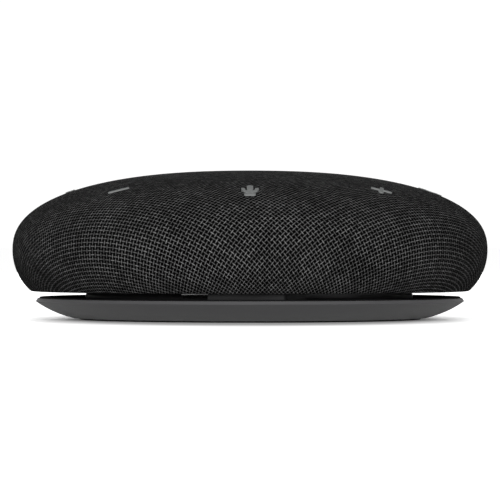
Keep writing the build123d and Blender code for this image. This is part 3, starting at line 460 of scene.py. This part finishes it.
def moulded(name, colour, grain=4.0, depth=0.02, rough=(0.42, 0.6), mottle=0.12, **sockets):
    """Moulded plastic or rubber: fine spark-eroded grain, faint mottling and handling marks.

    grain is features to a millimetre, depth is its relief in millimetres, and rough is from least to most.
    """
    s = Shader(name)
    grain_noise = s.noise(grain, 2.0)
    cloud = s.noise(0.12, 4.0)
    patch = s.noise(0.03, 5.0, 0.65)
    base = s.mix(cloud, tint(colour, 1 - mottle), tint(colour, 1 + mottle))
    base = s.mix(s.fit(grain_noise, 0.3, 0.7, 0, 0.35), base, tint(colour, 1.35))
    roughness = s.fit(s.add(s.mul(patch, 0.7), s.mul(cloud, 0.3)), 0.35, 0.65, *rough)
    normal = s.bump(grain_noise, depth)
    return s.finish(Base_Color=base, Roughness=roughness, Normal=normal, **sockets)


def metal(name, colour, axis, rough=(0.22, 0.38), stains=0.25, depth=0.004):
    """Plated or brushed metal. Brush marks run along the axis."""
    s = Shader(name)
    stretch = tuple(0.03 if k == axis else 1.0 for k in range(3))
    brush = s.noise(9.0, 2.0, stretch=stretch)
    cloud = s.noise(0.25, 5.0, 0.6)
    base = s.mix(s.fit(cloud, 0.35, 0.7, 0, stains), colour, tint(colour, 0.6))
    base = s.mix(s.fit(brush, 0.3, 0.7, 0, 0.25), base, tint(colour, 1.2))
    roughness = s.fit(s.add(s.mul(brush, 0.5), s.mul(cloud, 0.5)), 0.35, 0.65, *rough)
    return s.finish(
        Base_Color=base, Roughness=roughness, Normal=s.bump(brush, depth), Metallic=1.0
    )


KNIT_PITCH = 1.06
KNIT_TURN = radians(50.65)
KNIT_HALF = 0.17                   # half a thread's width, as a share of the pitch
KNIT_RELIEF = 0.16                 # millimetres


def knitted(name):
    """Open mesh of round melange threads that pass over and under each other. The colour follows each
    thread's height: painted shade on the threads' sides and dips, and holes painted near black.
    """
    s = Shader(name)
    cloth = s.node("Attribute", "Vector", attribute_name="flat", attribute_type="GEOMETRY")
    # threads wander a little from straight
    wander = s.node("TexNoise", 1, {"Vector": cloth, "Scale": 0.9, "Detail": 2.0})
    bent = s.node("VectorMath", 0, {0: wander, 1: (0.5, 0.5, 0.5)}, operation="SUBTRACT")
    bent = s.node("VectorMath", 0, {0: bent, 1: (0.22, 0.22, 0)}, operation="MULTIPLY")
    bent = s.node("VectorMath", 0, {0: bent, 1: cloth}, operation="ADD")
    axes = s.node("SeparateXYZ", 0, {0: bent}).node.outputs
    c, n = cos(KNIT_TURN) / KNIT_PITCH, sin(KNIT_TURN) / KNIT_PITCH
    a = s.add(s.mul(axes[0], c), s.mul(axes[1], n))
    b = s.sub(s.mul(axes[1], c), s.mul(axes[0], n))
    # i and j number the crossings, and each thread rises and dips as a wave from one crossing to the next
    i, j = s.math("ROUND", a), s.math("ROUND", b)
    da, db = s.sub(a, i), s.sub(b, j)
    heights = []
    for off, along, row, sign in ((da, b, i, 0.5), (db, a, j, -0.5)):
        share = s.math("DIVIDE", off, KNIT_HALF)
        round_top = s.math("SQRT", s.math("MAXIMUM", s.sub(1.0, s.mul(share, share)), 0.0))
        wave = s.mul(s.math("COSINE", s.mul(s.add(along, row), pi)), sign)
        inside = s.math("LESS_THAN", s.math("ABSOLUTE", share), 1.0)
        high = s.add(s.mul(wave, 0.55), s.mul(round_top, 0.75))
        heights.append(s.add(s.mul(s.add(high, 1.0), inside), -1.0))
    over = s.math("GREATER_THAN", heights[0], heights[1])
    top = s.math("MAXIMUM", *heights)
    # plies twisted into each thread
    twist_a = s.math("SINE", s.mul(s.add(s.mul(b, 3.0), s.mul(da, 5.0)), 2 * pi))
    twist_b = s.math("SINE", s.mul(s.add(s.mul(a, 3.0), s.mul(db, 5.0)), 2 * pi))
    twist = s.add(s.mul(over, twist_a), s.mul(s.sub(1.0, over), twist_b))
    cell = s.node("CombineXYZ", 0, {0: i, 1: j})
    chance = s.node("TexWhiteNoise", 0, {"Vector": cell})
    fibre = s.noise(7.0 * MM, 3.0, 0.7, cloth)
    patch = s.noise(0.07 * MM, 3.0, 0.5, cloth)
    # painted shade: the colour follows the threads' height, darker on each thread's sides and where it
    # dips under a crossing
    light = s.fit(top, 0.12, 1.08, 0.0, 1.0, True)
    # brighter flecks at random crossings, only where the thread stands highest
    crest_fleck = s.mul(s.math("POWER", chance, 4.0), s.fit(top, 0.6, 1.2))
    light = s.mul(light, s.fit(chance, 0, 1, 0.78, 1.22))
    light = s.mul(light, s.fit(patch, 0.3, 0.7, 0.85, 1.15))
    light = s.mul(light, s.fit(fibre, 0.25, 0.75, 0.45, 1.55))
    light = s.mul(light, s.add(0.92, s.mul(twist, 0.12)))
    light = s.add(light, s.mul(crest_fleck, 0.5))
    # the lowest stops paint the holes near black, as the shade inside them
    colour = s.ramp(s.mul(light, 0.5), (0.0, 0.0003), (0.1, 0.002), (0.5, 0.165), (1.0, 0.36))
    relief = s.add(s.math("MAXIMUM", top, -0.6), s.add(s.mul(twist, 0.05), s.mul(fibre, 0.3)))
    return s.finish(
        Base_Color=colour,
        Roughness=s.fit(fibre, 0.3, 0.7, 0.78, 0.95),
        Normal=s.bump(relief, KNIT_RELIEF),
        Specular_IOR_Level=0.02,
    )


def ringed(name, colour, spacing, rough, groove=0.05, speck=0.2):
    """Rubber with fine turned rings and a little dust."""
    s = Shader(name)
    axes = s.node("SeparateXYZ", 0, {0: s.place}).node.outputs
    radius = s.math("SQRT", s.add(s.mul(axes[0], axes[0]), s.mul(axes[1], axes[1])))
    rings = s.math("SINE", s.mul(radius, 2 * pi / (spacing * MM)))
    grain = s.noise(5.0, 2.0)
    cloud = s.noise(0.1, 4.0)
    base = s.mix(cloud, tint(colour, 0.8), tint(colour, 1.25))
    dust = s.fit(s.noise(1.6, 2.0), 0.62, 0.72, 0, speck, True)
    base = s.mix(dust, base, (0.3, 0.29, 0.27))
    height = s.add(s.mul(rings, 0.5), s.mul(grain, 0.4))
    return s.finish(
        Base_Color=base, Roughness=s.fit(cloud, 0.3, 0.7, *rough), Normal=s.bump(height, groove)
    )


def circuit_board(name, mask):
    """Solder mask over copper tracks, with bare pads."""
    s = Shader(name)
    cells = s.node(
        "TexVoronoi", "Distance", {"Vector": s.place, "Scale": 0.45 / MM}, distance="CHEBYCHEV"
    )
    axes = s.node("SeparateXYZ", 0, {0: s.place}).node.outputs
    bend = s.mul(s.noise(0.15, 0.0), 9.0)
    lines = s.math("SINE", s.add(s.mul(axes[0], 2 * pi / (0.9 * MM)), bend))
    track = s.fit(lines, 0.45, 0.6, 0, 1, True)
    pads = s.fit(cells, 0.10, 0.13, 1, 0, True)
    base = s.mix(track, mask, tint(mask, 2.2))
    base = s.mix(pads, base, (0.62, 0.5, 0.28))
    height = s.add(s.mul(track, 0.5), s.mul(pads, 0.5))
    return s.finish(
        Base_Color=base, Roughness=s.fit(s.noise(0.3), 0.3, 0.7, 0.25, 0.45),
        Metallic=pads, Normal=s.bump(height, 0.03),
    )


def woven(name, colour, pitch, rough):
    """Fine plain weave on the object's own axes."""
    s = Shader(name)
    axes = s.node("SeparateXYZ", 0, {0: s.place}).node.outputs
    k = pi / (pitch * MM)
    weave = s.mul(s.math("SINE", s.mul(axes[0], k)), s.math("SINE", s.mul(axes[1], k)))
    # painted shade and light: darker where the weave lies low and lighter where it stands high
    base = s.mix(s.fit(weave, -1, 1), tint(colour, 0.6), tint(colour, 1.2))
    base = s.mix(s.fit(s.noise(0.8, 4.0), 0.3, 0.7, 0, 0.4), base, tint(colour, 0.8))
    return s.finish(Base_Color=base, Roughness=rough, Normal=s.bump(weave, 0.08))


def wound(name, colour, pitch):
    """Fine wire wound round the vertical axis."""
    s = Shader(name)
    axes = s.node("SeparateXYZ", 0, {0: s.place}).node.outputs
    turns = s.math("ABSOLUTE", s.math("SINE", s.mul(axes[2], pi / (pitch * MM))))
    # painted shade: darker in the grooves between the turns of wire
    base = s.mix(turns, tint(colour, 0.45), colour)
    base = s.mix(s.fit(s.noise(0.6, 4.0), 0.4, 0.7, 0, 0.4), base, tint(colour, 0.7))
    return s.finish(Base_Color=base, Roughness=0.32, Metallic=1.0, Normal=s.bump(turns, 0.08))


def magnet(name, colour):
    """Ground ferrite with open pores."""
    s = Shader(name)
    pores = s.fit(s.noise(3.0, 4.0, 0.7), 0.58, 0.66, 0, 1, True)
    base = s.mix(s.noise(0.5, 4.0), tint(colour, 0.7), tint(colour, 1.4))
    # the pores are also painted darker: painted shade in the hollows
    base = s.mix(pores, base, tint(colour, 0.3))
    return s.finish(Base_Color=base, Roughness=0.55, Normal=s.bump(s.sub(1.0, pores), 0.04))


make = {
    "knit_fabric": knitted,
    "shell_plastic": lambda n: moulded(n, (0.016, 0.016, 0.017), 3.5, 0.03, (0.45, 0.62)),
    "dish_rubber": lambda n: moulded(
        n, (0.092, 0.092, 0.0945), 6.0, 0.012, (0.6, 0.72), 0.05,
        Specular_IOR_Level=0.2, Sheen_Weight=0.32, Sheen_Roughness=0.4,
    ),
    "liner_plastic": lambda n: moulded(
        n, (0.006, 0.006, 0.0063), 4.0, 0.02, (0.6, 0.75), Specular_IOR_Level=0.08
    ),
    "foot_rubber": lambda n: ringed(n, (0.026, 0.026, 0.026), 1.0, (0.6, 0.8)),
    "weight_steel": lambda n: metal(n, (0.5, 0.5, 0.51), 0, (0.3, 0.45)),
    "plate_film": lambda n: moulded(n, (0.03, 0.03, 0.032), 1.2, 0.012, (0.28, 0.42), 0.08),
    "cable_jacket": lambda n: moulded(n, (0.024, 0.024, 0.025), 5.0, 0.015, (0.35, 0.5), 0.15),
    "plug_polymer": lambda n: moulded(
        n, (0.021, 0.021, 0.0215), 7.0, 0.015, (0.55, 0.7), Specular_IOR_Level=0.25
    ),
    "plug_steel": lambda n: metal(n, (0.58, 0.58, 0.58), 0, (0.2, 0.34), 0.2),
    "insert_plastic": lambda n: moulded(n, (0.012, 0.012, 0.012), 5.0, 0.01),
    "key_plastic": lambda n: moulded(n, (0.255, 0.264, 0.261), 8.0, 0.008, (0.38, 0.5), 0.06),
    "circuit_board": lambda n: circuit_board(n, (0.012, 0.07, 0.03)),
    "switch_metal": lambda n: metal(n, (0.62, 0.62, 0.6), 1),
    "light_resin": lambda n: moulded(
        n, (0.75, 0.74, 0.68), 3.0, 0.005, (0.12, 0.25), 0.04, Subsurface_Weight=0.1
    ),
    "microphone_metal": lambda n: metal(n, (0.68, 0.63, 0.5), 2),
    "motor_steel": lambda n: metal(n, (0.48, 0.48, 0.5), 2, (0.28, 0.42), 0.35),
    "magnet_ferrite": lambda n: magnet(n, (0.05, 0.05, 0.055)),
    "basket_steel": lambda n: moulded(n, (0.02, 0.02, 0.021), 1.5, 0.05, (0.3, 0.45)),
    "cone_paper": lambda n: moulded(n, (0.028, 0.027, 0.026), 1.6, 0.12, (0.75, 0.95), 0.3),
    "coil_copper": lambda n: wound(n, (0.72, 0.34, 0.17), 0.3),
    "surround_rubber": lambda n: moulded(n, (0.016, 0.016, 0.016), 6.0, 0.01, (0.35, 0.5)),
    "spider_cloth": lambda n: woven(n, (0.42, 0.27, 0.1), 0.35, 0.8),
    "gasket_foam": lambda n: moulded(n, (0.028, 0.028, 0.03), 2.5, 0.2, (0.85, 1.0), 0.3),
    "chip_resin": lambda n: moulded(n, (0.015, 0.015, 0.016), 5.0, 0.01, (0.5, 0.65)),
    "socket_plastic": lambda n: moulded(n, (0.7, 0.66, 0.55), 4.0, 0.01, (0.4, 0.5), 0.05),
    "wire_jacket": lambda n: moulded(n, (0.4, 0.03, 0.025), 4.0, 0.01, (0.3, 0.42)),
    "screw_steel": lambda n: metal(n, (0.2, 0.2, 0.21), 1, (0.3, 0.45), 0.4),
}
materials = {slot: build(slot) for slot, build in make.items()}


def dress(thing, slot):
    """Give an object the material of that slot alone."""
    thing.data.materials.clear()
    thing.data.materials.append(materials[slot])


for part in frame["record"]["subparts"]:
    node = frame["nodes"][part["node"]]
    dress(node, part["material_slot"])
dress(cable, "cable_jacket")
dress(cover, "knit_fabric")

# ---------------------------------------------------------------- floor and light

FLOOR_HALF = 6.0
PAINTED_SHADOW_NEAR, PAINTED_SHADOW_FAR = 0.0435, 0.067   # where the painted shadow under the object ends, to the sides
PAINTED_SHADOW_STRETCH = 1.45             # how much further it reaches to the front and back
# the floor's glow inside the painted shadow, and beyond it
GLOW_NEAR, GLOW_FAR = 0.1, 0.85
FLOOR_BOUNCE = 0.12                # share of the floor's glow that reaches the object
BOUNCE_PAINT = (0.3, 0.3, 0.3)     # the floor's colour, as the light that reaches the object sees it

floor_mesh = bpy.data.meshes.new("floor")
floor_mesh.from_pydata(
    [(x * FLOOR_HALF, y * FLOOR_HALF, 0) for x, y in ((-1, -1), (1, -1), (1, 1), (-1, 1))],
    [], [(0, 1, 2, 3)],
)
floor = add_object("floor", floor_mesh, None)
s = Shader("floor")
oval = s.node("VectorMath", 0, {0: s.place, 1: (1, 1 / PAINTED_SHADOW_STRETCH, 0)}, operation="MULTIPLY")
from_middle = s.node("VectorMath", "Value", {0: oval}, operation="LENGTH")
seen = s.node("LightPath", "Is Camera Ray")
# the floor's glow is painted dark near the object, as a painted contact shadow
glow = s.fit(from_middle, PAINTED_SHADOW_NEAR, PAINTED_SHADOW_FAR, GLOW_NEAR, GLOW_FAR, True)
glow = s.mul(glow, s.fit(seen, 0, 1, FLOOR_BOUNCE, 1))
paint = s.mix(s.noise(0.01, 2.0), (0.91, 0.91, 0.91), (0.93, 0.93, 0.93))
floor_mesh.materials.append(
    s.finish(
        Base_Color=s.mix(seen, BOUNCE_PAINT, paint),
        Roughness=0.6,
        Emission_Color=(1, 1, 1, 1),
        Emission_Strength=glow,
    )
)

# White surroundings. The light that reaches the object is dimmer, most of all overhead.
SKY_SEEN = 1.06
SKY_LEVEL, SKY_OVERHEAD, OVERHEAD_FROM = 0.27, 0.09, 0.9

world = bpy.data.worlds.new("studio")
scene.world = world
world.use_nodes = True
sky = world.node_tree
background = sky.nodes["Background"]
background.inputs["Color"].default_value = (1, 1, 1, 1)
direction = sky.nodes.new("ShaderNodeTexCoord")
sky_axes = sky.nodes.new("ShaderNodeSeparateXYZ")
dimming = sky.nodes.new("ShaderNodeMapRange")
for socket, value in zip(dimming.inputs[1:5], (0.0, OVERHEAD_FROM, SKY_LEVEL, SKY_OVERHEAD)):
    socket.default_value = value
seen = sky.nodes.new("ShaderNodeLightPath")
strength = sky.nodes.new("ShaderNodeMix")
strength.inputs[3].default_value = SKY_SEEN
sky.links.new(direction.outputs["Generated"], sky_axes.inputs[0])
sky.links.new(sky_axes.outputs[2], dimming.inputs[0])
sky.links.new(seen.outputs["Is Camera Ray"], strength.inputs[0])
sky.links.new(dimming.outputs[0], strength.inputs[2])
sky.links.new(strength.outputs[0], background.inputs["Strength"])
scene.view_settings.view_transform = "Standard"


LAMP_AIM = Vector((0, 0, 0.02))


def softbox(name, place, size, power):
    """Round area light, aimed at the object."""
    light = bpy.data.lights.new(name, "AREA")
    light.shape, light.size, light.energy = "DISK", size, power
    lamp = bpy.data.objects.new(name, light)
    lamp.location = place
    lamp.rotation_euler = (LAMP_AIM - Vector(place)).to_track_quat("-Z", "Y").to_euler()
    scene.collection.objects.link(lamp)


softbox("front_softbox", place=(0, -1.29, 0.32), size=0.8, power=15.0)
softbox("back_softbox", place=(0, 1.28, 0.16), size=0.5, power=2.5)
